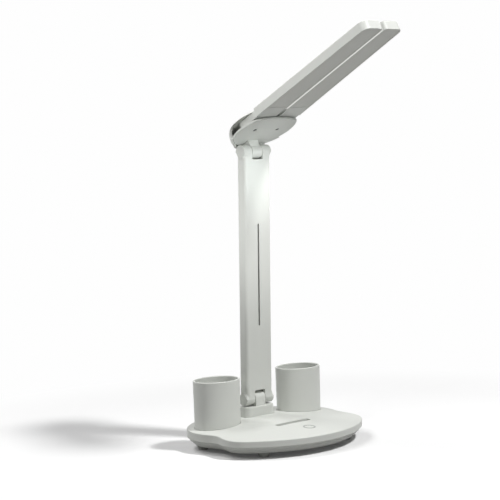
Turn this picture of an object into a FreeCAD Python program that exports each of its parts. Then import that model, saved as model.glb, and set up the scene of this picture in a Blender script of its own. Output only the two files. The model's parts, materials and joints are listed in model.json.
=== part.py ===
import FreeCAD, Part
import math
import os

# Desk lamp on a wide low base that carries two oval pen cups, a phone slot and a touch ring.
# A flat upright arm is hinged to the base, and a round head with two light bars is hinged to the arm.
# All sizes are millimetres. Z is up, the front of the lamp faces -Y, and X runs across it.
# The origin is the middle of the whole lamp's box, on the surface that the lamp stands on.
# The model is drawn from the middle of the base and moved there when it is saved.

# Base: plan outline, mirrored about X = 0
base_width = 212.0
base_depth = 164.0
lobe_radius = 49.0
corner_span = 208.0
corner_radius = 34.0
corner_setback = 65.0
waist_radius = 33.0

# Base: heights and walls
feet_height = 6.5
seam_height = 15.0
crown_height = 30.0
crown_radius = 1000.0
tray_taper = 9.0
tray_wall = 2.2
tray_floor = 2.2
cover_wall = 2.5
seam_step = 0.5
cover_rim_round = 1.2
tray_edge_round = 1.5
lip_wall = 1.4
lip_rise = 3.0
lip_clearance = 0.25

# Feet and the screws that close the base
foot_top_radius = 7.4
foot_bottom_radius = 5.6
foot_spigot_radius = 2.5
foot_spigot_length = 1.8
foot_edge_round = 0.8
front_foot_x = 66.0
front_foot_y = -40.0
rear_foot_x = 84.0
rear_foot_y = 48.0
base_screw_head_radius = 2.8
base_screw_head_height = 1.6
base_screw_shank_radius = 1.5
base_screw_length = 12.0
base_screw_boss_radius = 4.0
base_screw_gap_to_foot = 15.5

# Ballast plate in the tray
ballast_thickness = 4.0
ballast_inset = 24.0
ballast_gap = 0.3
ballast_notch_radius = 7.0

# Pen cups
cup_spacing = 132.0
cup_y = 41.0
cup_half_width = 30.0
cup_half_depth = 24.6
cup_rise = 52.2
cup_wall = 2.4
cup_floor = 2.4
cup_draft = 0.5
cup_rim_round = 0.9
cup_seat_depth = 5.8
cup_seat_floor = 2.0
cup_seat_gap = 0.15
cup_screw_offset = 12.0

# Phone slot in the crown
slot_length = 53.0
slot_width = 8.0
slot_y = -19.5
slot_depth = 13.0
slot_wall = 1.6
slot_corner_radius = 2.0

# Touch ring, flush in the crown, and the board below it
ring_y = -47.3
ring_outer_radius = 7.5
ring_inner_radius = 5.6
ring_groove_depth = 1.0
ring_proud = 0.15
ring_gap = 0.1
board_length = 44.0
board_width = 26.0
board_thickness = 1.6
board_gap = 0.2
pad_radius = 4.5
pad_height = 1.2

# Power socket at the back of the base
socket_width = 9.0
socket_height = 3.3
socket_depth = 9.0
socket_wall = 0.5
socket_gap = 0.15
socket_tongue = 0.7
socket_height_above_seam = 5.0
socket_board_depth = 16.0
socket_board_width = 22.0

# Pedestal that carries the lower hinge
pedestal_half_width = 24.0
pedestal_draft = 2.0
pedestal_front = 9.5
pedestal_back = 12.5
pedestal_top = 41.8
pedestal_seat_depth = 1.2
pedestal_seat_gap = 0.15
pedestal_corner_radius = 7.0
pedestal_edge_round = 1.0
pedestal_screw_x = 17.0

# Hinges, alike at both ends of the arm
hinge_y = 45.2
hinge_z = 51.1
hub_radius = 7.8
hub_width = 15.0
hub_gap = 0.6
fork_width = 16.4
barrel_fork_radius = 7.5
barrel_end_radius = 8.2
barrel_length = 43.2
barrel_edge_round = 0.5
shoulder_at_fork = 2.9
shoulder_height = 9.4
shoulder_at_rim = 6.0
shaft_radius = 3.0
shaft_running_gap = 0.05
shaft_seat_gap = 0.02
shaft_short_of_cap = 0.5
washer_radius = 6.4
washer_thickness = 0.4
cap_radius = 6.4
cap_thickness = 1.5
cap_crown = 0.35
cap_gap = 0.08

# Arm
arm_length = 298.6
arm_lean = 1.84
arm_width = 41.0
arm_thickness = 14.4
arm_edge_radius = 3.6
arm_wall = 2.2
arm_side_wall = 2.6
arm_end_block = 19.0
lower_notch_height = 10.3
upper_notch_height = 8.8
slit_start = 88.5
slit_end = 212.6
slit_width = 2.5
rear_cover_rebate = 1.2
rear_cover_thickness = 2.0
rear_cover_gap = 0.12
rear_cover_edge_round = 0.6
arm_rib_thickness = 1.6
arm_rib_height = 3.0
arm_rib_count = 5
arm_screw_inset = 12.0
arm_screw_x = 12.0
arm_screw_radius = 1.4
arm_screw_head_radius = 2.4
arm_screw_head_height = 1.3
arm_screw_length = 6.5
arm_screw_boss_radius = 3.4

# Head: a round lower plate and a round cover, both measured from the upper hinge
head_tilt = 26.86
head_radius = 40.2
head_centre = 31.3
plate_bottom = 12.1
plate_thickness = 2.5
plate_edge_round = 1.1
plate_front = 59.8
plate_front_bow = 120.0
plate_corner_round = 8.0
plate_stop_width = 6.0
plate_stop_depth = 3.0
plate_stop_height = 1.1
neck_half_depth = 6.5
neck_flare = 0.6
neck_edge_radius = 1.0
neck_clearance = 0.4
head_cover_top = 27.7
head_cover_wall = 2.7
head_cover_round = 10.0
head_cover_gap = 0.15
skirt_half_angle = 63.0
skirt_rib_count = 10
skirt_rib_step = 12.0
skirt_rib_depth = 1.6
skirt_rib_width = 1.2
hood_bottom = 8.8
hood_half_width = 24.0
hood_corner_radius = 3.0

# Pivots of the two bars
pivot_x = 17.8
pivot_forward = 33.0
pivot_radius = 4.0
pivot_running_gap = 0.05
pivot_washer_radius = 8.0
pivot_washer_thickness = 0.5
pivot_face_gap = 0.3
head_screw_head_radius = 2.3
head_screw_head_height = 1.3
head_screw_sunk = 0.4
head_screw_shank_radius = 1.3
head_screw_length = 11.0

# Light bars
bar_bottom = 16.2
bar_top = 26.9
bar_gap = 2.4
bar_reach = 256.4
bar_taper = 4.2
bar_taper_start = 60.0
bar_outer_corner = 9.0
bar_inner_corner = 5.0
bar_edge_round = 1.2
bar_roof = 1.5
bar_rim = 1.5
bar_root_inset = 1.6
bar_start_radius = 44.5
diffuser_thickness = 1.8
diffuser_gap = 0.1
diffuser_sunk = 0.25
diffuser_back = 80.0
diffuser_ledge = 1.2
led_strip_thickness = 1.2
led_strip_inset = 3.0
led_count = 16
led_size = 2.8
led_height = 0.7

# General values
cut_overrun = 1.0
screw_recess_depth = 0.7
screw_recess_width = 0.6
screw_recess_share = 0.6
level_slack = 0.1
quarter_turn = 90.0
full_turn = 360.0
middle_share = 0.5
corner_bend_share = 1 - math.sqrt(middle_share)


def vec(x, y, z):
    return FreeCAD.Vector(x, y, z)


AXIS_X = vec(1, 0, 0)
AXIS_Y = vec(0, 1, 0)
AXIS_Z = vec(0, 0, 1)


def lamp_middle():
    """How far the middle of the whole lamp lies behind the middle of the base."""
    tilt = math.radians(head_tilt)
    foremost = upper_hinge().y - bar_reach * math.cos(tilt) + bar_bottom * math.sin(tilt)
    return (base_depth / 2 + foremost) / 2


def save(name, shape):
    if shape.ShapeType == "Compound" and len(shape.Solids) == 1:
        shape = shape.Solids[0]
    if not shape.isValid():
        raise ValueError(name + " is not a valid solid")
    shape = shape.copy()
    shape.translate(vec(0, -lamp_middle(), 0))
    shape.exportStep("parts/" + name + ".step")
    print(name, len(shape.Solids), round(shape.Volume, 1))


def block(x0, x1, y0, y1, z0, z1):
    """A box given by its limits along each axis."""
    return Part.makeBox(x1 - x0, y1 - y0, z1 - z0, vec(x0, y0, z0))


def rod(radius, start, direction, length):
    return Part.makeCylinder(radius, length, start, direction)


def clean(shape):
    """Merges faces that lie on one surface, where that leaves a valid solid."""
    merged = shape.removeSplitter()
    return merged if merged.isValid() else shape


def rounded(shape, radius, wanted):
    """Fillets the edges that wanted picks."""
    edges = [edge for edge in shape.Edges if wanted(edge)]
    if not edges or radius <= 0:
        return shape
    return shape.makeFillet(radius, edges)


def on_level(z, slack=level_slack):
    """Picks edges that lie wholly on one level."""
    return lambda edge: abs(edge.BoundBox.ZMin - z) < slack and abs(edge.BoundBox.ZMax - z) < slack


def rounded_rectangle(half_x, y0, y1, radius, z):
    """A closed wire with four round corners, on the level z."""
    bend = radius * corner_bend_share
    corners = [(half_x, y0, 1, -1), (half_x, y1, 1, 1), (-half_x, y1, -1, 1), (-half_x, y0, -1, -1)]
    points = []
    for x, y, sx, sy in corners:
        side = vec(x, y - sy * radius, z)
        middle = vec(x - sx * bend, y - sy * bend, z)
        end = vec(x - sx * radius, y, z)
        points.append([end, middle, side] if sx * sy < 0 else [side, middle, end])
    edges = []
    for i, corner in enumerate(points):
        edges.append(Part.Arc(*corner).toShape())
        edges.append(Part.LineSegment(corner[2], points[(i + 1) % len(points)][0]).toShape())
    return Part.Wire(edges)


def ellipse_wire(centre, half_x, half_y):
    ellipse = Part.Ellipse(centre, half_x, half_y)
    return Part.Wire([ellipse.toShape()])


def arc_point(centre, radius, angle, z):
    turn = math.radians(angle)
    return vec(centre[0] + radius * math.cos(turn), centre[1] + radius * math.sin(turn), z)


def angle_to(start, end):
    return math.degrees(math.atan2(end[1] - start[1], end[0] - start[0]))


def outline_centres():
    """Centres of the arcs of the right half of the base, and the radius of the front bow."""
    lobe = (base_width / 2 - lobe_radius, base_depth / 2 - lobe_radius)
    corner = (corner_span / 2 - corner_radius, corner_setback - base_depth / 2)
    rise = 2 * (corner_setback - corner_radius)
    bow = (corner[0] ** 2 + corner_setback ** 2 - corner_radius ** 2) / rise
    front = (0, bow - base_depth / 2)
    across = math.dist(lobe, corner)
    to_lobe = lobe_radius + waist_radius
    to_corner = corner_radius + waist_radius
    along = (to_lobe ** 2 - to_corner ** 2 + across ** 2) / (2 * across)
    aside = math.sqrt(to_lobe ** 2 - along ** 2)
    dx = (corner[0] - lobe[0]) / across
    dy = (corner[1] - lobe[1]) / across
    waist = (lobe[0] + dx * along - dy * aside, lobe[1] + dy * along + dx * aside)
    return lobe, waist, corner, front, bow


def base_outline(inset, z):
    """The plan outline of the base, moved in by the inset: tangent arcs and a straight back edge."""
    lobe, waist, corner, front, bow = outline_centres()
    lobe_end = angle_to(lobe, waist)
    corner_start = angle_to(corner, waist)
    corner_end = angle_to(front, corner)
    pieces = [
        (lobe, lobe_radius - inset, quarter_turn, lobe_end),
        (waist, waist_radius + inset, angle_to(waist, lobe) % full_turn,
         angle_to(waist, corner) % full_turn),
        (corner, corner_radius - inset, corner_start, corner_end),
    ]
    right = []
    for centre, radius, start, end in pieces:
        right.append([arc_point(centre, radius, a, z) for a in (start, (start + end) / 2, end)])
    edges = [Part.Arc(*three).toShape() for three in right]
    edges.append(Part.Arc(right[2][2], arc_point(front, bow - inset, -quarter_turn, z),
                          mirrored(right[2][2])).toShape())
    for three in reversed(right):
        edges.append(Part.Arc(mirrored(three[2]), mirrored(three[1]), mirrored(three[0])).toShape())
    edges.append(Part.LineSegment(mirrored(right[0][0]), right[0][0]).toShape())
    return Part.Wire(edges)


def mirrored(point):
    return vec(-point.x, point.y, point.z)


def slab(inset, z0, z1):
    return Part.Face(base_outline(inset, z0)).extrude(vec(0, 0, z1 - z0))


def crown(lowered):
    """The ball whose top is the crown of the base, taken down by the given depth."""
    return Part.makeSphere(crown_radius - lowered, vec(0, cup_y, crown_height - crown_radius))


def crown_at(x, y, lowered=0.0):
    """The height of the crown over a place."""
    away = x ** 2 + (y - cup_y) ** 2
    return crown_height - crown_radius + math.sqrt((crown_radius - lowered) ** 2 - away)


def foot_places():
    places = ((front_foot_x, front_foot_y), (rear_foot_x, rear_foot_y))
    return [(sx * x, y) for x, y in places for sx in (-1, 1)]


def base_screw_places():
    """One screw beside each foot, towards the middle of the base."""
    places = []
    for x, y in foot_places():
        away = math.hypot(x, y)
        share = (away - base_screw_gap_to_foot) / away
        places.append((x * share, y * share))
    return places


def cup_places():
    return [-cup_spacing / 2, cup_spacing / 2]


def cup_seat_level():
    return crown_height - cup_seat_depth


def screw(x, y, head_z, direction, head_radius, head_height, shank_radius, length):
    """A pan-head screw with a cross recess. The head starts at head_z, the shank runs along direction."""
    up = vec(0, 0, direction)
    body = rod(head_radius, vec(x, y, head_z), up, head_height)
    body = body.fuse(rod(shank_radius, vec(x, y, head_z), up, length))
    reach = head_radius * screw_recess_share
    half = screw_recess_width / 2
    z0 = min(head_z - cut_overrun * direction, head_z + screw_recess_depth * direction)
    z1 = max(head_z - cut_overrun * direction, head_z + screw_recess_depth * direction)
    cross = block(x - reach, x + reach, y - half, y + half, z0, z1)
    cross = cross.fuse(block(x - half, x + half, y - reach, y + reach, z0, z1))
    return body.cut(cross)


def base_lower_shell():
    """Tray with a tapered wall, a lip that centres the cover, and screw pillars."""
    outer = Part.makeLoft([base_outline(tray_taper, feet_height),
                           base_outline(seam_step, seam_height)], True, True)
    outer = rounded(outer, tray_edge_round, on_level(feet_height))
    share = tray_floor / (seam_height - feet_height)
    inner_low = base_outline(tray_taper + tray_wall - (tray_taper - seam_step) * share,
                             feet_height + tray_floor)
    inner_high = base_outline(seam_step + tray_wall, seam_height)
    shell = outer.cut(Part.makeLoft([inner_low, inner_high], True, True))
    lip_outside = cover_wall + lip_clearance
    lip_bottom = seam_height - lip_rise
    lip = slab(lip_outside, lip_bottom, seam_height + lip_rise)
    lip = lip.cut(slab(lip_outside + lip_wall, lip_bottom - cut_overrun,
                       seam_height + lip_rise + cut_overrun))
    lip = lip.cut(socket_room(socket_gap + lip_clearance))
    shell = shell.fuse(lip)
    for x, y in foot_places():
        hole = rod(foot_spigot_radius + ring_gap, vec(x, y, feet_height - cut_overrun), AXIS_Z,
                   tray_floor + 2 * cut_overrun)
        shell = shell.cut(hole)
    for x, y in base_screw_places():
        start = vec(x, y, feet_height)
        rise = base_screw_head_height + tray_floor
        shell = shell.fuse(rod(base_screw_boss_radius, start, AXIS_Z, rise))
        shell = shell.cut(rod(base_screw_head_radius + ring_gap, vec(x, y, 0), AXIS_Z,
                              feet_height + base_screw_head_height))
        shell = shell.cut(rod(base_screw_shank_radius + ring_gap, vec(x, y, 0), AXIS_Z, crown_height))
    return clean(shell)


def socket_level():
    return seam_height + socket_height_above_seam


def stadium_x(half_width, radius, y0, y1, z):
    """A flat-sided round-ended bar along Y, as wide as the socket."""
    reach = half_width - radius
    bar = block(-reach, reach, y0, y1, z - radius, z + radius)
    for sx in (-1, 1):
        bar = bar.fuse(rod(radius, vec(sx * reach, y0, z), AXIS_Y, y1 - y0))
    return clean(bar)


def socket_room(gap):
    """The opening that the power socket looks out of."""
    back = base_depth / 2
    return stadium_x(socket_width / 2 + gap, socket_height / 2 + gap, back - socket_depth,
                     back + cut_overrun, socket_level())


def pedestal_room(gap, z0, z1):
    """The rounded block of the pedestal's foot, with a gap round it."""
    wire = rounded_rectangle(pedestal_half_width + gap, hinge_y - pedestal_front - gap,
                             hinge_y + pedestal_back + gap,
                             pedestal_corner_radius + gap, z0)
    return Part.Face(wire).extrude(vec(0, 0, z1 - z0))


def slot_block(grow, z0, z1):
    """The phone slot as a block with round corners, grown on every side."""
    half = slot_width / 2 + grow
    wire = rounded_rectangle(slot_length / 2 + grow, slot_y - half, slot_y + half,
                             slot_corner_radius + grow, z0)
    return Part.Face(wire).extrude(vec(0, 0, z1 - z0))


def cup_slab(x, half_x, half_y, z0, z1):
    return Part.Face(ellipse_wire(vec(x, cup_y, z0), half_x, half_y)).extrude(vec(0, 0, z1 - z0))


def base_top_cover():
    """Crowned cover with its side band, cup seats, slot pocket, ring groove and screw pillars."""
    outer = slab(0, seam_height, crown_height + cut_overrun).common(crown(0))
    above = seam_height + cut_overrun
    outer = rounded(outer, cover_rim_round,
                    lambda edge: edge.BoundBox.ZMin > above and not is_upright(edge))
    inner = slab(cover_wall, seam_height - cut_overrun,
                 crown_height + cut_overrun).common(crown(cover_wall))
    cover = outer.cut(inner)
    seat = cup_seat_level()
    inside = slab(cover_wall / 2, seam_height, crown_height).common(crown(cover_wall / 2))
    for x in cup_places():
        rim_x = cup_half_width + cup_seat_gap
        rim_y = cup_half_depth + cup_seat_gap
        skirt = cup_slab(x, rim_x + cup_seat_floor, rim_y + cup_seat_floor, seat - cup_seat_floor,
                         crown_height)
        cover = cover.fuse(skirt.common(inside))
        cover = cover.cut(cup_slab(x, rim_x, rim_y, seat, crown_height + cut_overrun))
        for sx in (-1, 1):
            place = vec(x + sx * cup_screw_offset, cup_y, 0)
            cover = cover.cut(rod(base_screw_shank_radius + ring_gap, place, AXIS_Z, crown_height))
    floor = crown_at(0, slot_y) - slot_depth
    pocket = slot_block(slot_wall, floor - slot_wall, crown_height).common(inside)
    cover = cover.fuse(pocket)
    cover = cover.cut(slot_block(0, floor, crown_height + cut_overrun))
    pad = pedestal_room(cover_wall, crown_height - cover_wall - pedestal_seat_depth,
                        crown_height).common(inside)
    cover = cover.fuse(pad)
    cover = cover.cut(pedestal_room(pedestal_seat_gap, crown_height - pedestal_seat_depth,
                                    crown_height + cut_overrun))
    for sx in (-1, 1):
        place = vec(sx * pedestal_screw_x, hinge_y, 0)
        cover = cover.cut(rod(base_screw_shank_radius + ring_gap, place, AXIS_Z, crown_height))
    cover = cover.cut(ring_block(ring_gap, ring_groove_depth, -cut_overrun))
    cover = cover.cut(socket_room(socket_gap))
    for x, y in base_screw_places():
        bottom = feet_height + base_screw_head_height + tray_floor
        pillar = rod(base_screw_boss_radius, vec(x, y, bottom), AXIS_Z,
                     crown_at(x, y) - cover_wall / 2 - bottom)
        pillar = pillar.cut(rod(base_screw_shank_radius, vec(x, y, bottom - cut_overrun), AXIS_Z,
                                base_screw_length))
        for cup_x in cup_places():
            pillar = pillar.cut(cup_slab(cup_x, cup_half_width, cup_half_depth,
                                         seat - cup_seat_floor, crown_height))
        cover = cover.fuse(pillar)
    return clean(cover)


def is_upright(edge):
    first = edge.Vertexes[0].Point
    last = edge.Vertexes[-1].Point
    return math.hypot(first.x - last.x,
                      first.y - last.y) < ring_gap and abs(first.z - last.z) > ring_gap


def ring_block(gap, depth, proud):
    """The touch ring's own space in the crown, from a depth below its surface to a height above it."""
    bottom = crown_height - crown_radius / 2
    tall = crown_radius
    ring = rod(ring_outer_radius + gap, vec(0, ring_y, bottom), AXIS_Z, tall)
    ring = ring.cut(rod(ring_inner_radius - gap, vec(0, ring_y, bottom - cut_overrun), AXIS_Z,
                        tall + 2 * cut_overrun))
    return ring.common(crown(proud)).cut(crown(depth))


def touch_ring():
    """Light ring that lies in the groove of the crown and stands a little proud."""
    return ring_block(0, ring_groove_depth, -ring_proud)


def control_board():
    """Circuit board under the touch ring, with the sensing pad that reaches up to the crown."""
    under = crown_at(board_length / 2, ring_y - board_width / 2, cover_wall) - board_gap
    top = under - pad_height
    board = block(-board_length / 2, board_length / 2, ring_y - board_width / 2,
                  ring_y + board_width / 2, top - board_thickness, top)
    pad = rod(pad_radius, vec(0, ring_y, top), AXIS_Z,
              crown_at(pad_radius, ring_y - pad_radius, cover_wall) - board_gap - top)
    return clean(board.fuse(pad))


def power_socket():
    """Metal-shelled socket that looks out of the back of the base, on its small board."""
    back = base_depth / 2
    level = socket_level()
    shell = stadium_x(socket_width / 2, socket_height / 2, back - socket_depth,
                      back - cover_wall / 2, level)
    hollow = stadium_x(socket_width / 2 - socket_wall, socket_height / 2 - socket_wall,
                       back - socket_depth + socket_wall,
                       back + cut_overrun, level)
    shell = shell.cut(hollow)
    tongue_half = socket_width / 2 - socket_height / 2
    tongue = block(-tongue_half, tongue_half, back - socket_depth, back - cover_wall - socket_wall,
                   level - socket_tongue / 2, level + socket_tongue / 2)
    board_top = level - socket_height / 2
    board_back = back - cover_wall - lip_clearance - lip_wall - lip_clearance
    board = block(-socket_board_width / 2, socket_board_width / 2,
                  back - socket_board_depth - cover_wall, board_back, board_top - board_thickness,
                  board_top)
    return clean(shell.fuse(tongue).fuse(board))


def base_ballast_plate():
    """Steel weight that lies on the floor of the tray, clear of the screw pillars."""
    bottom = feet_height + tray_floor + ballast_gap
    plate = slab(ballast_inset, bottom, bottom + ballast_thickness)
    for x, y in base_screw_places() + foot_places():
        plate = plate.cut(rod(ballast_notch_radius, vec(x, y, bottom - cut_overrun), AXIS_Z,
                              ballast_thickness + 2 * cut_overrun))
    return plate


def base_feet():
    """Four soft feet, narrower at the bottom, each with a spigot in the tray."""
    feet = []
    for x, y in foot_places():
        foot = Part.makeCone(foot_bottom_radius, foot_top_radius, feet_height, vec(x, y, 0), AXIS_Z)
        foot = rounded(foot, foot_edge_round, on_level(0))
        feet.append(foot.fuse(rod(foot_spigot_radius, vec(x, y, feet_height), AXIS_Z,
                                  foot_spigot_length)))
    return Part.makeCompound(feet)


def base_screws():
    return Part.makeCompound([
        screw(x, y, feet_height + ring_gap, 1, base_screw_head_radius,
              base_screw_head_height - ring_gap,
              base_screw_shank_radius, base_screw_length)
        for x, y in base_screw_places()])


def pen_cup(x):
    """Oval cup with a thin wall and a rounded rim, standing in its seat in the crown."""
    seat = cup_seat_level()
    top = crown_height + cup_rise
    low = ellipse_wire(vec(x, cup_y, seat), cup_half_width - cup_draft, cup_half_depth - cup_draft)
    high = ellipse_wire(vec(x, cup_y, top), cup_half_width, cup_half_depth)
    cup = Part.makeLoft([low, high], True, True)
    floor = seat + cup_floor
    inner_low = ellipse_wire(vec(x, cup_y, floor), cup_half_width - cup_draft - cup_wall,
                             cup_half_depth - cup_draft - cup_wall)
    inner_high = ellipse_wire(vec(x, cup_y, top + cut_overrun), cup_half_width - cup_wall,
                              cup_half_depth - cup_wall)
    cup = cup.cut(Part.makeLoft([inner_low, inner_high], True, True))
    cup = rounded(cup, cup_rim_round, on_level(top))
    for sx in (-1, 1):
        place = vec(x + sx * cup_screw_offset, cup_y, seat - cut_overrun)
        cup = cup.cut(rod(base_screw_shank_radius, place, AXIS_Z, cup_floor + cut_overrun - cup_draft))
    return cup


def cup_screws():
    """Two screws under each cup, driven up from inside the base."""
    level = cup_seat_level() - cup_seat_floor - base_screw_head_height
    reach = base_screw_head_height + cup_seat_floor + cup_floor - cup_draft
    return Part.makeCompound([
        screw(x + sx * cup_screw_offset, cup_y, level, 1, base_screw_head_radius,
              base_screw_head_height,
              base_screw_shank_radius - ring_gap / 2, reach - ring_gap)
        for x in cup_places() for sx in (-1, 1)])


def hub(y, z):
    return rod(hub_radius, vec(-hub_width / 2, y, z), AXIS_X, hub_width)


def shaft_hole(radius, y, z, half):
    return rod(radius, vec(-half, y, z), AXIS_X, 2 * half)


def hinge_pedestal():
    """Drafted block with a central knuckle that the arm's fork turns about."""
    bottom = crown_height - pedestal_seat_depth
    low = rounded_rectangle(pedestal_half_width, hinge_y - pedestal_front, hinge_y + pedestal_back,
                            pedestal_corner_radius, bottom)
    high = rounded_rectangle(pedestal_half_width - pedestal_draft, hinge_y - pedestal_front,
                             hinge_y + pedestal_back,
                             pedestal_corner_radius, pedestal_top)
    body = Part.makeLoft([low, high], True, True)
    body = rounded(body, pedestal_edge_round, on_level(pedestal_top))
    knuckle = block(-hub_width / 2, hub_width / 2, hinge_y - hub_radius, hinge_y + hub_radius,
                    bottom + cut_overrun, hinge_z)
    body = body.fuse(knuckle).fuse(hub(hinge_y, hinge_z))
    body = body.cut(shaft_hole(shaft_radius + shaft_running_gap, hinge_y, hinge_z, barrel_length))
    for sx in (-1, 1):
        place = vec(sx * pedestal_screw_x, hinge_y, bottom - cut_overrun)
        body = body.cut(rod(base_screw_shank_radius, place, AXIS_Z,
                            pedestal_top - bottom - cover_wall + cut_overrun))
    return clean(body)


def pedestal_screws():
    """Two screws that hold the pedestal, driven up from inside the base."""
    level = crown_height - pedestal_seat_depth - cover_wall - base_screw_head_height
    reach = pedestal_top - cover_wall - level
    return Part.makeCompound([
        screw(sx * pedestal_screw_x, hinge_y, level, 1, base_screw_head_radius, base_screw_head_height,
              base_screw_shank_radius - ring_gap / 2, reach - ring_gap)
        for sx in (-1, 1)])


def placed_on_arm(shape):
    """Moves a shape from the arm's own frame, lower hinge at the origin, to its place at rest."""
    moved = shape.copy()
    moved.rotate(vec(0, 0, 0), AXIS_X, arm_lean)
    moved.translate(vec(0, hinge_y, hinge_z))
    return moved


def upper_hinge():
    lean = math.radians(arm_lean)
    return vec(0, hinge_y - arm_length * math.sin(lean), hinge_z + arm_length * math.cos(lean))


def placed_on_head(shape):
    """Moves a shape from the head's own frame, upper hinge at the origin, to its place at rest."""
    moved = shape.copy()
    moved.rotate(vec(0, 0, 0), AXIS_X, -head_tilt)
    moved.translate(upper_hinge())
    return moved


def arm_section(half_x, half_y, radius, z):
    return rounded_rectangle(half_x, -half_y, half_y, radius, z)


def barrel_section(x, radius, height, half, z, inward):
    """Outline of a barrel at one place: round at the arm's end, straight up to the flat arm."""
    front = vec(x, -radius, z)
    back = vec(x, radius, z)
    edges = [Part.Arc(front, vec(x, 0, z - inward * radius), back).toShape()]
    shoulder = z + inward * height
    corners = [back, vec(x, half, shoulder), vec(x, -half, shoulder), front]
    for start, end in zip(corners, corners[1:]):
        edges.append(Part.LineSegment(start, end).toShape())
    return Part.Wire(edges)


def barrel(side, z, inward):
    """One slightly conical barrel with the shoulder that slants from the fork up to the arm's side."""
    inner = fork_width / 2
    outer = arm_width / 2
    flat_end = outer - arm_edge_radius
    flat = arm_thickness / 2
    narrow = flat - arm_edge_radius
    share = (flat_end - inner) / (outer - inner)
    stations = [
        (inner, barrel_fork_radius, shoulder_at_fork, flat),
        (flat_end, barrel_fork_radius + share * (barrel_end_radius - barrel_fork_radius),
         shoulder_at_fork + share * (shoulder_height - shoulder_at_fork), flat),
        (outer, barrel_end_radius, shoulder_height, narrow),
        (barrel_length / 2 - barrel_edge_round, barrel_end_radius,
         shoulder_at_rim + barrel_edge_round, narrow),
        (barrel_length / 2, barrel_end_radius - barrel_edge_round, shoulder_at_rim, narrow),
    ]
    wires = [barrel_section(side * x, *sizes, z, inward) for x, *sizes in stations]
    return Part.makeLoft(wires, True, True)


def fork_room(z, inward, notch):
    """The space between an end's two barrels: round behind the hub and open to the front."""
    half = fork_width / 2
    room = rod(hub_radius + hub_gap, vec(-half, 0, z), AXIS_X, fork_width)
    reach = barrel_end_radius + cut_overrun
    outside = z - inward * reach
    z0, z1 = sorted((outside, z))
    room = room.fuse(block(-half, half, -reach, reach, z0, z1))
    z0, z1 = sorted((outside, z + inward * notch))
    return room.fuse(block(-half, half, -reach, 0, z0, z1))


def cap_room(z):
    """Round recesses in the outer ends of both barrels."""
    recesses = []
    for sx in (-1, 1):
        start = vec(sx * (barrel_length / 2 - cap_thickness), 0, z)
        recesses.append(rod(cap_radius + cap_gap, start, AXIS_X * sx, cap_thickness + cut_overrun))
    return recesses[0].fuse(recesses[1])


def arm_screw_places():
    low = arm_end_block + arm_screw_inset
    return [(sx * arm_screw_x, z) for z in (low, arm_length - low) for sx in (-1, 1)]


def rear_cover_plate(grow, y0, y1):
    """The flat rear cover between two levels of depth, grown on every side."""
    half = arm_width / 2 - arm_side_wall + rear_cover_rebate + grow
    z0 = arm_end_block - rear_cover_rebate - grow
    return block(-half, half, y0, y1, z0, arm_length - z0)


def arm_front_shell():
    """Front and sides of the arm in one moulding, with a barrel pair at each end."""
    shaft = Part.Face(arm_section(arm_width / 2, arm_thickness / 2, arm_edge_radius,
                                  0)).extrude(vec(0, 0, arm_length))
    body = shaft
    for z, inward in ((0, 1), (arm_length, -1)):
        body = body.fuse([barrel(-1, z, inward), barrel(1, z, inward)])
    body = clean(body)
    back = arm_thickness / 2
    hollow_half = arm_width / 2 - arm_side_wall
    body = body.cut(block(-hollow_half, hollow_half, arm_wall - back, back + cut_overrun,
                          arm_end_block, arm_length - arm_end_block))
    body = body.cut(rear_cover_plate(0, back - rear_cover_thickness, back + cut_overrun))
    span = arm_length - 2 * arm_end_block
    for i in range(arm_rib_count):
        z = arm_end_block + span * (i + 1) / (arm_rib_count + 1)
        for sx in (-1, 1):
            inner = slit_width + arm_wall
            x0, x1 = sorted((sx * inner, sx * hollow_half))
            rib = block(x0, x1, arm_wall - back - rear_cover_gap, arm_wall - back + arm_rib_height,
                        z - arm_rib_thickness / 2, z + arm_rib_thickness / 2)
            body = body.fuse(rib)
    for x, z in arm_screw_places():
        start = vec(x, arm_wall - back - rear_cover_gap, z)
        boss = rod(arm_screw_boss_radius, start, AXIS_Y,
                   arm_thickness - arm_wall - rear_cover_thickness + rear_cover_gap)
        body = body.fuse(boss)
        hole = rod(arm_screw_radius - ring_gap, vec(x, back - arm_screw_length, z), AXIS_Y,
                   arm_screw_length + cut_overrun)
        body = body.cut(hole)
    slit_half = slit_width / 2
    slit = block(-slit_half, slit_half, -back - cut_overrun, 0, slit_start + slit_half,
                 slit_end - slit_half)
    for z in (slit_start + slit_half, slit_end - slit_half):
        slit = slit.fuse(rod(slit_half, vec(0, -back - cut_overrun, z), AXIS_Y, back + cut_overrun))
    body = body.cut(slit)
    for z, inward, notch in ((0, 1, lower_notch_height), (arm_length, -1, upper_notch_height)):
        body = body.cut(fork_room(z, inward, notch))
        body = body.cut(shaft_hole(shaft_radius + shaft_seat_gap, 0, z, barrel_length))
        body = body.cut(cap_room(z))
    return clean(body)


def arm_rear_cover():
    """Flat plate that closes the back of the arm, with sunk screw holes."""
    back = arm_thickness / 2
    plate = rear_cover_plate(-rear_cover_gap, back - rear_cover_thickness, back)
    plate = rounded(plate, rear_cover_edge_round, lambda edge: edge.BoundBox.YMin > back - ring_gap)
    for x, z in arm_screw_places():
        plate = plate.cut(rod(arm_screw_radius + ring_gap, vec(x, 0, z), AXIS_Y, arm_thickness))
        head = rod(arm_screw_head_radius + ring_gap, vec(x, back - arm_screw_head_height, z),
                   AXIS_Y, arm_thickness)
        plate = plate.cut(head)
    return plate


def arm_rear_screws():
    """Four screws that hold the rear cover, with their heads sunk in it."""
    screws = []
    back = arm_thickness / 2
    for x, z in arm_screw_places():
        one = screw(0, 0, 0, -1, arm_screw_head_radius, arm_screw_head_height - ring_gap,
                    arm_screw_radius - ring_gap, arm_screw_length - ring_gap)
        one.rotate(vec(0, 0, 0), AXIS_X, -quarter_turn)
        one.translate(vec(x, back - ring_gap, z))
        screws.append(one)
    return Part.makeCompound(screws)


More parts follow.
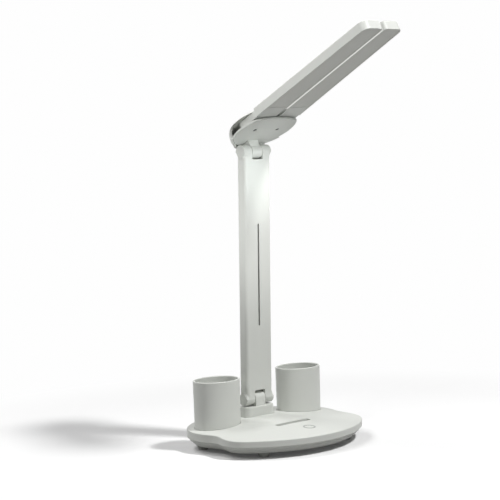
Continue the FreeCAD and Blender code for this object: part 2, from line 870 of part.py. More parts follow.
def hinge_shaft(z):
    half = barrel_length / 2 - cap_thickness - shaft_short_of_cap
    return rod(shaft_radius, vec(-half, 0, z), AXIS_X, 2 * half)


def hinge_washers(z):
    """A thin washer against each inner face of the fork."""
    washers = []
    for sx in (-1, 1):
        start = vec(sx * fork_width / 2, 0, z)
        washer = rod(washer_radius, start, AXIS_X * -sx, washer_thickness)
        washers.append(washer.cut(shaft_hole(shaft_radius + shaft_seat_gap, 0, z, fork_width)))
    return Part.makeCompound(washers)


def barrel_caps(z):
    """A low-domed disc in the end of each barrel."""
    caps = []
    for sx in (-1, 1):
        start = vec(sx * (barrel_length / 2 - cap_thickness), 0, z)
        disc = rod(cap_radius, start, AXIS_X * sx, cap_thickness)
        dome_radius = (cap_radius ** 2 + cap_crown ** 2) / (2 * cap_crown)
        dome = Part.makeSphere(dome_radius,
                               vec(sx * (barrel_length / 2 + cap_crown - dome_radius), 0, z))
        tall = rod(cap_radius, start, AXIS_X * sx, cap_thickness + cap_crown)
        caps.append(clean(disc.fuse(tall.common(dome))))
    return Part.makeCompound(caps)


def head_disc(radius, z0, z1):
    return rod(radius, vec(0, -head_centre, z0), AXIS_Z, z1 - z0)


def pivots():
    return [(-pivot_x, -pivot_forward), (pivot_x, -pivot_forward)]


def plate_top():
    return plate_bottom + plate_thickness


def head_lower_plate():
    """Round plate, flattened in front, with the neck and the knuckle of the upper hinge."""
    top = plate_top()
    bow = rod(plate_front_bow, vec(0, plate_front_bow - plate_front, plate_bottom), AXIS_Z,
              plate_thickness)
    plate = head_disc(head_radius, plate_bottom, top).common(bow)
    plate = rounded(plate, plate_corner_round, is_upright)
    plate = rounded(plate, plate_edge_round, lambda edge: edge.BoundBox.ZMax < top)
    half_stop = plate_stop_width / 2
    stop_front = plate_front - plate_edge_round
    plate = plate.fuse(block(-half_stop, half_stop, -stop_front, plate_stop_depth - stop_front, top,
                             top + plate_stop_height))
    half = hub_width / 2
    depth = neck_half_depth
    low = rounded_rectangle(half, -depth, depth, neck_edge_radius, 0)
    clear = rounded_rectangle(half, -depth, depth, neck_edge_radius,
                              barrel_fork_radius + neck_clearance)
    high = rounded_rectangle(half + neck_flare, -depth, depth, neck_edge_radius,
                             plate_bottom + plate_edge_round)
    neck = Part.makeLoft([low, clear, high], True, True)
    plate = plate.fuse([neck, hub(0, 0)])
    plate = plate.cut(shaft_hole(shaft_radius + shaft_running_gap, 0, 0, barrel_length))
    for x, y in pivots():
        low_end = vec(x, y, plate_bottom - cut_overrun)
        sunk = head_screw_head_height + head_screw_sunk
        plate = plate.cut(rod(head_screw_head_radius + ring_gap, low_end, AXIS_Z, sunk + cut_overrun))
        plate = plate.cut(rod(head_screw_shank_radius + ring_gap, low_end, AXIS_Z,
                              head_screw_length + cut_overrun))
    return clean(plate)


def head_screws():
    """The two dark screws in the plate's underside that draw the pivots down."""
    return Part.makeCompound([
        screw(x, y, plate_bottom + head_screw_sunk, 1, head_screw_head_radius, head_screw_head_height,
              head_screw_shank_radius, head_screw_length)
        for x, y in pivots()])


def head_cover_inner():
    """The level of the cover's inner face."""
    return head_cover_top - head_cover_wall


def root_top():
    """The upper face of the bars' roots, which leaves room for the washers under the cover."""
    return head_cover_inner() - pivot_washer_thickness - pivot_face_gap


def bar_pivot_posts():
    """Round posts between the plate and the cover, one through each bar's root."""
    posts = []
    low = plate_top()
    for x, y in pivots():
        post = rod(pivot_radius, vec(x, y, low), AXIS_Z, head_cover_inner() - low)
        bore = head_screw_length + plate_bottom + head_screw_sunk - low
        posts.append(post.cut(rod(head_screw_shank_radius, vec(x, y, low - cut_overrun), AXIS_Z,
                                  bore + cut_overrun)))
    return Part.makeCompound(posts)


def bar_friction_washers():
    """A washer over each root, under the cover, that keeps the bar where it is turned."""
    washers = []
    low = root_top() + pivot_face_gap
    for x, y in pivots():
        washer = rod(pivot_washer_radius, vec(x, y, low), AXIS_Z, pivot_washer_thickness)
        washers.append(washer.cut(rod(pivot_radius + shaft_seat_gap, vec(x, y, low - cut_overrun),
                                      AXIS_Z, pivot_washer_thickness + 2 * cut_overrun)))
    return Part.makeCompound(washers)


def wedge(radius, start, end, z0, z1):
    """A sector of a disc about the head's middle. Angles run from the rear of the head."""
    middle = vec(0, -head_centre, z0)
    rim = []
    for angle in (start, (start + end) / 2, end):
        turn = math.radians(angle)
        rim.append(vec(radius * math.sin(turn), radius * math.cos(turn) - head_centre, z0))
    edges = [Part.LineSegment(middle, rim[0]).toShape(), Part.Arc(*rim).toShape(),
             Part.LineSegment(rim[2], middle).toShape()]
    return Part.Face(Part.Wire(edges)).extrude(vec(0, 0, z1 - z0))


def head_cover_radius():
    return head_radius + head_cover_gap + head_cover_wall


def dome(bottom):
    """The cover as a full turned shell: a flat top, a large shoulder and a wall down to the bottom."""
    outer = head_cover_radius()
    inner = outer - head_cover_wall
    bend = outer - head_cover_round
    level = head_cover_top - head_cover_round
    inner_round = head_cover_round - head_cover_wall
    outer_middle = vec(outer - head_cover_round * corner_bend_share, 0,
                       head_cover_top - head_cover_round * corner_bend_share)
    inner_middle = vec(inner - inner_round * corner_bend_share, 0,
                       head_cover_inner() - inner_round * corner_bend_share)
    top = [vec(0, 0, head_cover_top), vec(bend, 0, head_cover_top)]
    side = [vec(outer, 0, level), vec(outer, 0, bottom), vec(inner, 0, bottom), vec(inner, 0, level)]
    under = [vec(bend, 0, head_cover_inner()), vec(0, 0, head_cover_inner())]
    edges = [Part.LineSegment(*top).toShape(), Part.Arc(top[1], outer_middle, side[0]).toShape()]
    edges += [Part.LineSegment(start, end).toShape() for start, end in zip(side, side[1:])]
    edges.append(Part.Arc(side[-1], inner_middle, under[0]).toShape())
    edges.append(Part.LineSegment(*under).toShape())
    edges.append(Part.LineSegment(under[1], top[0]).toShape())
    shell = Part.Face(Part.Wire(edges)).revolve(vec(0, 0, 0), AXIS_Z, full_turn)
    shell.translate(vec(0, -head_centre, 0))
    return shell


def hood():
    """Upright slab with round lower corners. The wall hangs down behind the hinge where it reaches."""
    wire = rounded_rectangle(hood_half_width, hood_bottom, plate_bottom + head_cover_round,
                             hood_corner_radius, 0)
    tab = Part.Face(wire).extrude(vec(0, 0, head_radius))
    tab.rotate(vec(0, 0, 0), AXIS_X, quarter_turn)
    tab.translate(vec(0, head_radius, 0))
    return tab


def head_top_cover():
    """Round cover over the bar roots. Its wall closes the rear and leaves the front and sides open."""
    reach = 2 * head_radius
    cover = dome(hood_bottom - cut_overrun)
    below = head_disc(reach, hood_bottom - 2 * cut_overrun, plate_bottom)
    cover = cover.cut(below.cut(hood()))
    open_level = root_top() + pivot_face_gap
    window = head_disc(reach, hood_bottom - 2 * cut_overrun, open_level)
    window = window.cut(wedge(reach + cut_overrun, -skirt_half_angle, skirt_half_angle,
                              hood_bottom - 2 * cut_overrun, open_level + cut_overrun))
    cover = cover.cut(window)
    inner = head_radius + head_cover_gap
    middle = (skirt_rib_count - 1) / 2
    for i in range(skirt_rib_count):
        rib = block(-skirt_rib_width / 2, skirt_rib_width / 2, inner - skirt_rib_depth,
                    inner + head_cover_wall / 2, plate_top(), head_cover_top - head_cover_round / 2)
        rib.rotate(vec(0, 0, 0), AXIS_Z, skirt_rib_step * (i - middle))
        rib.translate(vec(0, -head_centre, 0))
        cover = cover.fuse(rib)
    return clean(cover)


def bar_outline(inset, z, back=None):
    """Plan of the right bar: a round root about its pivot and straight sides that taper to the tip."""
    inner_x = bar_gap / 2 + inset
    root_x = 2 * pivot_x - bar_gap / 2 - inset
    tip_x = root_x - bar_taper
    tip = -bar_reach + inset
    inner_corner = max(bar_inner_corner - inset, bar_inner_corner / 3)
    outer_corner = bar_outer_corner - inset
    inner_bend = inner_corner * corner_bend_share
    taper_start = -bar_taper_start
    start_y = -pivot_forward if back is None else -back
    points_in = [vec(inner_x, start_y, z), vec(inner_x, tip + inner_corner, z)]
    arc_in = [points_in[1], vec(inner_x + inner_bend, tip + inner_bend, z),
              vec(inner_x + inner_corner, tip, z)]
    slope = bar_taper / (bar_reach - bar_taper_start)
    lean = math.atan(slope)
    reach = outer_corner
    centre = vec(tip_x - reach, tip + reach, z)
    arc_out = [vec(centre.x, tip, z)]
    for angle in (-quarter_turn / 2, math.degrees(lean)):
        turn = math.radians(angle)
        arc_out.append(vec(centre.x + reach * math.cos(turn), centre.y + reach * math.sin(turn), z))
    edges = [Part.LineSegment(*points_in).toShape(), Part.Arc(*arc_in).toShape()]
    edges.append(Part.LineSegment(arc_in[2], arc_out[0]).toShape())
    edges.append(Part.Arc(*arc_out).toShape())
    shoulder = vec(root_x, taper_start, z)
    if back is None:
        outer_root = vec(root_x, start_y, z)
        edges.append(Part.LineSegment(arc_out[2], shoulder).toShape())
        edges.append(Part.LineSegment(shoulder, outer_root).toShape())
        behind = vec((inner_x + root_x) / 2, start_y + (root_x - inner_x) / 2, z)
        edges.append(Part.Arc(outer_root, behind, points_in[0]).toShape())
    else:
        share = (back - bar_taper_start) / (bar_reach - bar_taper_start)
        outer_root = vec(root_x - bar_taper * share, start_y, z)
        edges.append(Part.LineSegment(arc_out[2], outer_root).toShape())
        edges.append(Part.LineSegment(outer_root, points_in[0]).toShape())
    return Part.Wire(edges)


def bar_slab(inset, z0, z1, back=None):
    return Part.Face(bar_outline(inset, z0, back)).extrude(vec(0, 0, z1 - z0))


def bar_root():
    """The thinner root of the right bar: a round boss on the plate and a tongue into the bar."""
    end = head_centre + bar_start_radius + cut_overrun
    tongue = bar_slab(bar_root_inset, bar_bottom, root_top())
    tongue = tongue.common(block(0, 2 * pivot_x, -end, head_radius, bar_bottom, root_top()))
    low = plate_top() + pivot_face_gap
    radius = pivot_x - bar_gap / 2 - bar_root_inset
    return tongue.fuse(rod(radius, vec(pivot_x, -pivot_forward, low), AXIS_Z, root_top() - low))


def bar_housing():
    """Moulded top and sides of the right bar, open below where the diffuser sits, with its root."""
    bar = bar_slab(0, bar_bottom, bar_top)
    bar = rounded(bar, bar_edge_round, on_level(bar_top))
    bar = bar.cut(head_disc(bar_start_radius, bar_bottom - cut_overrun, bar_top + cut_overrun))
    seat_top = bar_bottom + diffuser_sunk + diffuser_thickness
    bar = bar.fuse(bar_root())
    bar = bar.cut(bar_slab(bar_rim, bar_bottom - cut_overrun, seat_top, diffuser_back))
    bar = bar.cut(bar_slab(bar_rim + diffuser_ledge, bar_bottom, bar_top - bar_roof,
                           diffuser_back + diffuser_ledge))
    hole = rod(pivot_radius + pivot_running_gap, vec(pivot_x, -pivot_forward, plate_top()), AXIS_Z,
               bar_top)
    return clean(bar.cut(hole))


def bar_diffuser():
    """Milky plate that fills the underside of a bar."""
    low = bar_bottom + diffuser_sunk
    return bar_slab(bar_rim + diffuser_gap, low, low + diffuser_thickness, diffuser_back + diffuser_gap)


def led_strip():
    """Thin metal strip under the roof of a bar, which carries the light sources."""
    high = bar_top - bar_roof
    return bar_slab(led_strip_inset, high - led_strip_thickness, high, diffuser_back + led_strip_inset)


def bar_leds():
    """One row of light sources on the strip, facing down."""
    high = bar_top - bar_roof - led_strip_thickness
    first = diffuser_back + led_strip_inset + led_size
    last = bar_reach - bar_outer_corner - led_size
    leds = []
    for i in range(led_count):
        y = -first - (last - first) * i / (led_count - 1)
        leds.append(block(pivot_x - led_size, pivot_x, y - led_size / 2, y + led_size / 2,
                          high - led_height, high))
    return Part.makeCompound(leds)


def to_left(shape):
    return shape.mirror(vec(0, 0, 0), AXIS_X)


def main():
    os.makedirs("parts", exist_ok=True)
    save("base_lower_shell", base_lower_shell())
    save("base_top_cover", base_top_cover())
    save("base_ballast_plate", base_ballast_plate())
    save("base_feet", base_feet())
    save("base_screws", base_screws())
    save("control_board", control_board())
    save("touch_ring", touch_ring())
    save("power_socket", power_socket())
    save("pen_cup_left", pen_cup(cup_places()[0]))
    save("pen_cup_right", pen_cup(cup_places()[1]))
    save("cup_screws", cup_screws())
    save("hinge_pedestal", hinge_pedestal())
    save("pedestal_screws", pedestal_screws())
    save("arm_front_shell", placed_on_arm(arm_front_shell()))
    save("arm_rear_cover", placed_on_arm(arm_rear_cover()))
    save("arm_rear_screws", placed_on_arm(arm_rear_screws()))
    for name, z in (("lower", 0), ("upper", arm_length)):
        save(name + "_hinge_shaft", placed_on_arm(hinge_shaft(z)))
        save(name + "_hinge_washers", placed_on_arm(hinge_washers(z)))
        save(name + "_barrel_caps", placed_on_arm(barrel_caps(z)))
    save("head_lower_plate", placed_on_head(head_lower_plate()))
    save("head_top_cover", placed_on_head(head_top_cover()))
    save("head_screws", placed_on_head(head_screws()))
    save("bar_pivot_posts", placed_on_head(bar_pivot_posts()))
    save("bar_friction_washers", placed_on_head(bar_friction_washers()))
    pieces = {"bar_housing": bar_housing(), "bar_diffuser": bar_diffuser(),
              "bar_led_strip": led_strip(), "bar_leds": bar_leds()}
    for name, shape in pieces.items():
        save(name + "_right", placed_on_head(shape))
        save(name + "_left", placed_on_head(to_left(shape)))


main()
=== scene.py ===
import json
import math

import bpy
from mathutils import Matrix, Vector

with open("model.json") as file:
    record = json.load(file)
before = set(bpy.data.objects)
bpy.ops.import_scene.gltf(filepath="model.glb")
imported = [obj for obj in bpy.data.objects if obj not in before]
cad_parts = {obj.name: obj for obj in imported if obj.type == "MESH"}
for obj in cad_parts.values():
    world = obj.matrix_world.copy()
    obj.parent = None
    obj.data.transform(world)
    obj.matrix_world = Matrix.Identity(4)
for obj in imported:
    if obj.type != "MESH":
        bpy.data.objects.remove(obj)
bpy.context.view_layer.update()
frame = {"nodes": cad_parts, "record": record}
nodes = frame["nodes"]

MM = 0.001
SCREEN_WHITE = 255


def linear(red, green, blue):
    """A colour given as it looks on the screen, from 0 to 255, as the shader takes it."""
    def one(value):
        share = value / SCREEN_WHITE
        return share / 12.92 if share <= 0.04045 else ((share + 0.055) / 1.055) ** 2.4
    return one(red), one(green), one(blue)


# Colours of the lamp's finishes
SHELL = linear(213, 215, 210)
BALLAST = linear(70, 71, 74)
RUST = linear(104, 70, 48)
FOOT_RUBBER = linear(200, 201, 196)
SCREW_STEEL = linear(96, 96, 98)
SHAFT_STEEL = linear(186, 187, 190)
WASHER = linear(226, 226, 222)
BOARD = linear(38, 92, 60)
TOUCH_RING = linear(158, 160, 158)
MILKY_PANEL = linear(211, 212, 206)
STRIP = linear(222, 222, 220)
LIGHT_SOURCE = linear(232, 216, 130)
BLACK = (0.0, 0.0, 0.0)
WHITE = (1.0, 1.0, 1.0)

# Grain of the moulded plastics, and how far apart the noises of one finish lie
SPARK_GRAIN = 0.35 * MM
WASHER_GRAIN = 0.5 * MM
RING_GRAIN = 0.3 * MM
SPOT_SEED, SPECK_SEED, GRAIN_SEED = 2, 3, 7

# The bars' walls that face each other: how far they lie from the middle, how soon the painted glow on their
# edge fades, the colour of that painted glow, light the bars do not give, and the dark base colour under it,
# which keeps the painted glow's tone the same in every pose
INNER_WALL = 1.35 * MM
INNER_FADE = 0.2 * MM
INNER_PAINTED_GLOW = linear(205, 206, 202)
INNER_PAINTED_GLOW_BASE = (0.1, 0.1, 0.1)

# Floor and backdrop: what they throw back at the lamp, what is seen of them, where plain white takes over
FLOOR_BOUNCE = (0.38, 0.38, 0.375)
FLOOR_DARKER = linear(250, 250, 250)
FLOOR_LIGHTER = linear(252, 252, 252)
FLOOR_WHITE = linear(254, 254, 254)
FLOOR_CLOUD = 0.4
GLOW_NEAR = 0.04
GLOW_FAR = 1.0
SHADOW_REACH = 0.38
WHITE_REACH = 0.62
FLOOR_FRONT, FLOOR_BACK, FLOOR_SIDE = -5.0, 2.6, 5.0
BACKDROP_BEND, BACKDROP_HEIGHT, BACKDROP_STEPS = 1.2, 3.5, 12
BACKDROP_TURN = -41.0
QUARTER_TURN = 90.0

# The light that fills the room, and the white that the camera sees behind the lamp
ROOM_LIGHT = 0.065
SEEN_WHITE = 1.0

# What the lights aim at
LAMP_MIDDLE = Vector((0.0, 0.05, 0.2))
HEAD_MIDDLE = Vector((0.0, 0.06, 0.385))
SHADOW_TIP = Vector((-0.113, 0.355, 0.0))
BARS_SIDE = Vector((-0.02, -0.04, 0.40))
ARM_SIDE = Vector((-0.02, 0.08, 0.25))
ARM_TOP = Vector((-0.014, 0.08, 0.328))
ARM_FRONT = Vector((0.0, 0.08, 0.26))

# Where the lights stand
KEY_DISTANCE = 1.8
SOFTBOX_DISTANCE = 2.2
LEFT_STAND = Vector((-1.0, -0.1, 0.50))
LOWER_LEFT_STAND = Vector((-1.0, -0.1, 0.40))
FRONT_STAND = Vector((0.30, -0.75, 0.26))
COOL_WHITE = (0.95, 1.0, 1.0)

# The photograph's viewpoint, with turns in degrees and the lens in millimetres
CAMERA_AZIMUTH, CAMERA_ELEVATION, CAMERA_ROLL = -41.25, 4.258, -1.91
CAMERA_DISTANCE = 1.8526
CAMERA_TARGET = Vector((-0.00598, 0.0929, 0.2316))
CAMERA_LENS = 110.69
SENSOR_WIDTH = 36.0
FARTHEST_SEEN = 50.0


class Value:
    """One output socket of a node tree, so that shader maths reads as plain expressions."""

    def __init__(self, maker, socket):
        self.maker = maker
        self.socket = socket

    def maths(self, operation, *values):
        return self.maker.node("ShaderNodeMath", {"operation": operation}, *values)

    def __add__(self, other):
        return self.maths("ADD", self, other)

    def __radd__(self, other):
        return self.maths("ADD", other, self)

    def __sub__(self, other):
        return self.maths("SUBTRACT", self, other)

    def __rsub__(self, other):
        return self.maths("SUBTRACT", other, self)

    def __mul__(self, other):
        return self.maths("MULTIPLY", self, other)

    def __rmul__(self, other):
        return self.maths("MULTIPLY", other, self)

    def size(self):
        return self.maths("ABSOLUTE", self)

    def at_least(self, other):
        return self.maths("MAXIMUM", self, other)

    def clamped(self, low, high):
        return self.maths("MINIMUM", self.at_least(low), high)


class NodeMaker:
    """Adds nodes to one node tree."""

    def __init__(self, tree):
        self.tree = tree

    def give(self, socket, value):
        """Links a value to a socket, or sets a constant on it."""
        if isinstance(value, Value):
            self.tree.links.new(value.socket, socket)
        else:
            socket.default_value = value

    def node(self, kind, settings=None, *values, output=0, **named):
        added = self.tree.nodes.new(kind)
        for key, value in (settings or {}).items():
            setattr(added, key, value)
        for place, value in enumerate(values):
            self.give(added.inputs[place], value)
        for key, value in named.items():
            self.give(added.inputs[key.replace("_", " ")], value)
        return Value(self, added.outputs[output])

    def ramp(self, value, start, end, first, last, course="LINEAR"):
        """A value that runs from first to last while the given one runs from start to end."""
        settings = {"interpolation_type": course}
        return self.node("ShaderNodeMapRange", settings, value, start, end, first, last)

    def seen_directly(self):
        """1 for rays from the camera and for mirrored or refracted ones, 0 for all others."""
        camera_ray = self.node("ShaderNodeLightPath", output="Is Camera Ray")
        glossy_ray = self.node("ShaderNodeLightPath", output="Is Glossy Ray")
        clear_ray = self.node("ShaderNodeLightPath", output="Is Transmission Ray")
        return camera_ray.at_least(glossy_ray).at_least(clear_ray)


class Finish(NodeMaker):
    """A material under construction, with its shader."""

    MIX_FIRST, MIX_SECOND, MIX_RESULT = 6, 7, 2

    def __init__(self, name, **fixed):
        self.made = bpy.data.materials.new(name)
        self.made.use_nodes = True
        super().__init__(self.made.node_tree)
        self.shader = self.tree.nodes["Principled BSDF"]
        for key, value in fixed.items():
            self.feed(key.replace("_", " "), value)

    def feed(self, socket, value):
        self.give(self.shader.inputs[socket], value)

    def place(self):
        """The spot on the surface, in metres, in the object's own space."""
        return self.node("ShaderNodeTexCoord", output="Object")

    def from_middle(self):
        """How far the spot lies to the side of the middle, in metres."""
        return self.node("ShaderNodeSeparateXYZ", {}, self.place()).size()

    def noise(self, size, detail=2.0, rough=0.5, seed=0.0):
        """Soft blotches about as large as the given size in metres, from 0 to 1."""
        moved = self.node("ShaderNodeVectorMath", {"operation": "ADD"}, self.place(), (seed, seed, seed))
        return self.node("ShaderNodeTexNoise", Vector=moved, Scale=1 / size, Detail=detail, Roughness=rough)

    def between(self, amount, first, second):
        """A colour that runs from the first to the second."""
        mixed = self.node("ShaderNodeMix", {"data_type": "RGBA"}, amount, output=self.MIX_RESULT)
        for place, colour in ((self.MIX_FIRST, first), (self.MIX_SECOND, second)):
            given = colour if isinstance(colour, Value) else (*colour, 1.0)
            self.give(mixed.socket.node.inputs[place], given)
        return mixed

    def bump(self, height, depth, strength):
        self.feed("Normal", self.node("ShaderNodeBump", Height=height, Distance=depth, Strength=strength))

    def edge_wear(self, blunt=0.52, sharp=0.62):
        """1 on sharp outer edges that hands and desks rub, 0 elsewhere."""
        point = self.node("ShaderNodeNewGeometry", output="Pointiness")
        return self.ramp(point, blunt, sharp, 0.0, 1.0)


def shade(colour, strength):
    """The same colour made darker or lighter."""
    return tuple(min(1.0, strength * part) for part in colour)


def moulded_shell(name, colour, seed, grain=SPARK_GRAIN, rough=0.42, painted_glow_edge=False):
    """Satin moulded plastic: a fine spark-eroded grain, faint flow clouds and slightly polished edges, and
    on request a painted glow along the bars' inner walls.
    """
    cloud_size, speck_size, grain_depth = 38 * MM, 1.1 * MM, 0.02 * MM
    cloud_share, speck_share, worn_share = 0.7, 0.3, 0.25
    darker, lighter, rubbed = shade(colour, 0.955), shade(colour, 1.035), shade(colour, 1.08)
    cloud_rough, worn_polish, speck_rough = 0.10, 0.08, 0.05
    glossiest, dullest = 0.2, 0.8
    finish = Finish(name, Specular_IOR_Level=0.45)
    clouds = finish.noise(cloud_size, detail=3.0, rough=0.55, seed=seed)
    specks = finish.noise(speck_size, detail=1.0, seed=seed + SPECK_SEED)
    grains = finish.noise(grain, rough=0.6, seed=seed + GRAIN_SEED)
    worn = finish.edge_wear()
    cloudy = finish.between(clouds * cloud_share + specks * speck_share, darker, lighter)
    shown = finish.between(worn * worn_share, cloudy, rubbed)
    # Painted glow: the bars' inner walls give off light of their own though no lamp is there, over a dark
    # base colour.
    if painted_glow_edge:
        painted_glow_share = finish.ramp(finish.from_middle(), INNER_WALL, INNER_WALL + INNER_FADE, 1.0, 0.0)
        finish.feed("Emission Color", finish.between(painted_glow_share, BLACK, INNER_PAINTED_GLOW))
        finish.feed("Emission Strength", 1.0)
        shown = finish.between(painted_glow_share, shown, INNER_PAINTED_GLOW_BASE)
    finish.feed("Base Color", shown)
    roughness = rough + cloud_rough * clouds - worn_polish * worn + speck_rough * specks
    finish.feed("Roughness", roughness.clamped(glossiest, dullest))
    finish.bump(grains, grain_depth, strength=0.5)
    return finish.made


def frosted_panel(name, colour):
    """Milky light panel: smooth, a little duller in places, with a fine pearl grain."""
    pearl_size, cloud_size, pearl_depth = 0.8 * MM, 26 * MM, 0.015 * MM
    cloud_share, pearl_share = 0.6, 0.4
    rough, pearl_rough, glossiest, dullest = 0.36, 0.14, 0.2, 0.7
    finish = Finish(name, Specular_IOR_Level=0.4)
    pearls = finish.noise(pearl_size, rough=0.6, seed=1.7)
    clouds = finish.noise(cloud_size, seed=4.1)
    tone = finish.between(clouds * cloud_share + pearls * pearl_share, shade(colour, 0.96), colour)
    finish.feed("Base Color", tone)
    finish.feed("Roughness", (rough + pearl_rough * pearls).clamped(glossiest, dullest))
    finish.bump(pearls, pearl_depth, strength=0.4)
    return finish.made


def plated_steel(name, colour, rough, seed):
    """Turned or plated steel with fine tool marks and a few duller spots."""
    mark_size, spot_size, mark_depth = 0.5 * MM, 5 * MM, 0.01 * MM
    spot_rough, mark_rough, glossiest, dullest = 0.15, 0.08, 0.1, 0.9
    finish = Finish(name, Metallic=1.0)
    marks = finish.noise(mark_size, detail=3.0, rough=0.7, seed=seed)
    spots = finish.noise(spot_size, seed=seed + SPOT_SEED)
    finish.feed("Base Color", finish.between(spots, shade(colour, 0.8), colour))
    finish.feed("Roughness", (rough + spot_rough * spots + mark_rough * marks).clamped(glossiest, dullest))
    finish.bump(marks, mark_depth, strength=0.4)
    return finish.made


def soft_rubber(name, colour):
    """Moulded rubber: dull, with a dusty bloom and a pebbled skin."""
    bloom_size, pebble_size, pebble_depth = 7 * MM, 0.6 * MM, 0.05 * MM
    rough, bloom_rough, glossiest, dullest = 0.72, 0.15, 0.5, 0.95
    finish = Finish(name, Specular_IOR_Level=0.3)
    bloom = finish.noise(bloom_size, detail=3.0, rough=0.6, seed=2.2)
    pebbles = finish.noise(pebble_size, detail=1.0, seed=6.3)
    finish.feed("Base Color", finish.between(bloom, shade(colour, 0.85), colour))
    finish.feed("Roughness", (rough + bloom_rough * bloom).clamped(glossiest, dullest))
    finish.bump(pebbles, pebble_depth, strength=0.6)
    return finish.made


def cast_weight(name, colour):
    """Blackened cast plate with a sandy skin and a few rusty clouds."""
    sand_size, rust_size, sand_depth = 0.9 * MM, 18 * MM, 0.08 * MM
    rust_start, rust_full, rust_share = 0.58, 0.72, 0.5
    rough, sand_rough, glossiest, dullest = 0.55, 0.25, 0.3, 0.95
    finish = Finish(name, Metallic=0.85)
    sand = finish.noise(sand_size, detail=3.0, rough=0.7, seed=3.3)
    clouds = finish.noise(rust_size, detail=4.0, rough=0.6, seed=9.1)
    rust = finish.ramp(clouds, rust_start, rust_full, 0.0, 1.0)
    finish.feed("Base Color", finish.between(rust * rust_share, colour, RUST))
    finish.feed("Roughness", (rough + sand_rough * sand).clamped(glossiest, dullest))
    finish.bump(sand, sand_depth, strength=0.7)
    return finish.made


def lacquered_board(name, colour):
    """Circuit board: lacquer over fine copper tracks that show as paler lines."""
    track_start, track_full, track_share, track_depth = 0.62, 0.72, 0.5, 0.03 * MM
    rough, track_rough = 0.3, 0.1
    finish = Finish(name, Specular_IOR_Level=0.5)
    waves = finish.node("ShaderNodeTexWave", {"bands_direction": "X"}, Vector=finish.place(), Scale=420.0,
                        Distortion=3.0, Detail=1.0)
    tracks = finish.ramp(waves, track_start, track_full, 0.0, 1.0)
    finish.feed("Base Color", finish.between(tracks * track_share, colour, shade(colour, 1.9)))
    finish.feed("Roughness", rough + track_rough * tracks)
    finish.bump(tracks, track_depth, strength=0.5)
    return finish.made


def floor_paint():
    """White paint that keeps the lamp's shadow near the lamp and is plain white farther out."""
    paint = Finish("floor_paint", Roughness=0.95, Specular_IOR_Level=0.05)
    seen = paint.seen_directly()
    white = paint.between(paint.noise(FLOOR_CLOUD, seed=0.4), FLOOR_DARKER, FLOOR_LIGHTER)
    paint.feed("Base Color", paint.between(seen, FLOOR_BOUNCE, white))
    away = paint.node("ShaderNodeVectorMath", {"operation": "LENGTH"}, paint.place(), output="Value")
    far = paint.ramp(away, SHADOW_REACH, WHITE_REACH, GLOW_NEAR, GLOW_FAR, "SMOOTHSTEP")
    glow = paint.node("ShaderNodeEmission", Color=(*FLOOR_WHITE, 1.0))
    painted = Value(paint, paint.shader.outputs[0])
    mixed = paint.node("ShaderNodeMixShader", {}, far * seen, painted, glow)
    paint.give(paint.tree.nodes["Material Output"].inputs["Surface"], mixed)
    return paint.made


def floor():
    """A wide pale floor that bends up into a backdrop behind the lamp."""
    profile = [(FLOOR_FRONT, 0.0), (FLOOR_BACK, 0.0)]
    for step in range(1, BACKDROP_STEPS + 1):
        turn = math.radians(QUARTER_TURN * step / BACKDROP_STEPS)
        profile.append((FLOOR_BACK + BACKDROP_BEND * math.sin(turn), BACKDROP_BEND * (1 - math.cos(turn))))
    profile.append((FLOOR_BACK + BACKDROP_BEND, BACKDROP_HEIGHT))
    corners = [Vector((x, y, z)) for y, z in profile for x in (-FLOOR_SIDE, FLOOR_SIDE)]
    faces = [(2 * i, 2 * i + 1, 2 * i + 3, 2 * i + 2) for i in range(len(profile) - 1)]
    mesh = bpy.data.meshes.new("floor")
    mesh.from_pydata(corners, [], faces)
    mesh.polygons.foreach_set("use_smooth", [True] * len(faces))
    mesh.materials.append(floor_paint())
    sheet = bpy.data.objects.new("floor", mesh)
    sheet.rotation_euler = (0, 0, math.radians(BACKDROP_TURN))
    bpy.context.collection.objects.link(sheet)


def light(kind, name, place, target, power, tint, **settings):
    """A light that stands at a place and aims at a target."""
    data = bpy.data.lights.new(name, kind)
    data.energy = power
    data.color = tint
    for key, value in settings.items():
        setattr(data, key, value)
    body = bpy.data.objects.new(name, data)
    body.location = place
    body.rotation_euler = (target - place).to_track_quat("-Z", "Y").to_euler()
    bpy.context.collection.objects.link(body)


def softbox(name, place, target, size, power):
    light("AREA", name, place, target, power, WHITE, shape="DISK", size=size)


def spot(name, place, target, width, power, tint=WHITE, size=0.05):
    """A cone of light that fades out all the way from its middle; the width is the full angle in degrees."""
    light("SPOT", name, place, target, power, tint, spot_size=math.radians(width), spot_blend=1.0,
          shadow_soft_size=size)


def direction(azimuth, elevation):
    """The way from the lamp to a light: 0 degrees is in front of it, and minus 90 on its left."""
    turn, rise = math.radians(azimuth), math.radians(elevation)
    return Vector((math.sin(turn) * math.cos(rise), -math.cos(turn) * math.cos(rise), math.sin(rise)))


def room():
    """A white room that lights the lamp only faintly."""
    world = bpy.context.scene.world or bpy.data.worlds.new("studio")
    bpy.context.scene.world = world
    world.use_nodes = True
    maker = NodeMaker(world.node_tree)
    sky = maker.tree.nodes["Background"]
    maker.give(sky.inputs["Color"], (*WHITE, 1.0))
    maker.give(sky.inputs["Strength"], maker.ramp(maker.seen_directly(), 0.0, 1.0, ROOM_LIGHT, SEEN_WHITE))


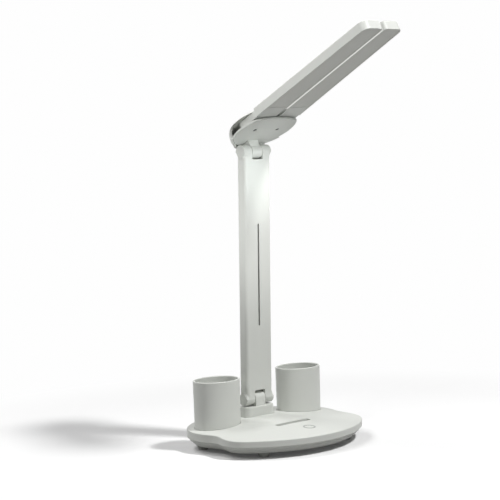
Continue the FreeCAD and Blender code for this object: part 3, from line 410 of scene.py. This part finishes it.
def studio():
    """A key light that throws the head's shadow as in the photograph, two softboxes and four spots."""
    key_place = HEAD_MIDDLE + KEY_DISTANCE * (HEAD_MIDDLE - SHADOW_TIP).normalized()
    left_place = LAMP_MIDDLE + SOFTBOX_DISTANCE * direction(azimuth=-86, elevation=40)
    rear_place = LAMP_MIDDLE + SOFTBOX_DISTANCE * direction(azimuth=-150, elevation=55)
    softbox("key_softbox", key_place, HEAD_MIDDLE, size=0.28, power=32.0)
    softbox("left_softbox", left_place, LAMP_MIDDLE, size=1.0, power=11.0)
    softbox("rear_softbox", rear_place, LAMP_MIDDLE, size=1.0, power=19.0)
    spot("left_spot", LEFT_STAND, BARS_SIDE, width=34.0, power=12.5)
    spot("arm_side_spot", LOWER_LEFT_STAND, ARM_SIDE, width=13.0, power=12.0)
    spot("glow_spot", FRONT_STAND, ARM_TOP, width=6.5, power=46.0, tint=COOL_WHITE)
    spot("arm_spot", FRONT_STAND, ARM_FRONT, width=16.0, power=8.0)


def camera():
    """The photograph's viewpoint: a long lens, a little above the lamp, in front and to its left."""
    roll = math.radians(CAMERA_ROLL)
    back = direction(CAMERA_AZIMUTH, CAMERA_ELEVATION)
    right = (-back).cross(Vector((0, 0, 1))).normalized()
    up = right.cross(-back)
    tilted_right = math.cos(roll) * right + math.sin(roll) * up
    tilted_up = math.cos(roll) * up - math.sin(roll) * right
    turned = Matrix((tilted_right, tilted_up, back)).transposed().to_4x4()
    data = bpy.data.cameras.new("photo_camera")
    data.sensor_width = SENSOR_WIDTH
    data.lens = CAMERA_LENS
    data.clip_end = FARTHEST_SEEN
    body = bpy.data.objects.new("photo_camera", data)
    body.matrix_world = Matrix.Translation(CAMERA_TARGET + CAMERA_DISTANCE * back) @ turned
    bpy.context.collection.objects.link(body)
    bpy.context.scene.camera = body


def dress_the_lamp():
    """Gives every piece of the frame the material of its slot."""
    finishes = {
        "shell": moulded_shell("shell_plastic", SHELL, seed=0.0),
        "ballast": cast_weight("ballast_iron", BALLAST),
        "foot_rubber": soft_rubber("foot_rubber", FOOT_RUBBER),
        "screw_steel": plated_steel("dark_screw_steel", SCREW_STEEL, rough=0.35, seed=1.0),
        "shaft_steel": plated_steel("shaft_steel", SHAFT_STEEL, rough=0.28, seed=5.0),
        "washer": moulded_shell("slippery_washer_plastic", WASHER, 8.0, WASHER_GRAIN, rough=0.3),
        "board": lacquered_board("green_board", BOARD),
        "touch_ring": moulded_shell("touch_ring_plastic", TOUCH_RING, 12.0, RING_GRAIN, rough=0.3),
        "diffuser": frosted_panel("milky_panel", MILKY_PANEL),
        "led_strip": plated_steel("white_coated_strip", STRIP, rough=0.45, seed=11.0),
        "led": frosted_panel("light_source_resin", LIGHT_SOURCE),
    }
    # The bars' plastic carries a painted glow along their inner walls.
    bar_plastic_painted_glow = moulded_shell("bar_plastic_painted_glow", SHELL, seed=2.0, painted_glow_edge=True)
    for part in frame["record"]["subparts"]:
        is_bar = part["node"].startswith("bar_housing")
        materials = nodes[part["node"]].data.materials
        materials.clear()
        materials.append(bar_plastic_painted_glow if is_bar else finishes[part["material_slot"]])


dress_the_lamp()
floor()
room()
studio()
camera()
bpy.context.scene.view_settings.view_transform = "Standard"
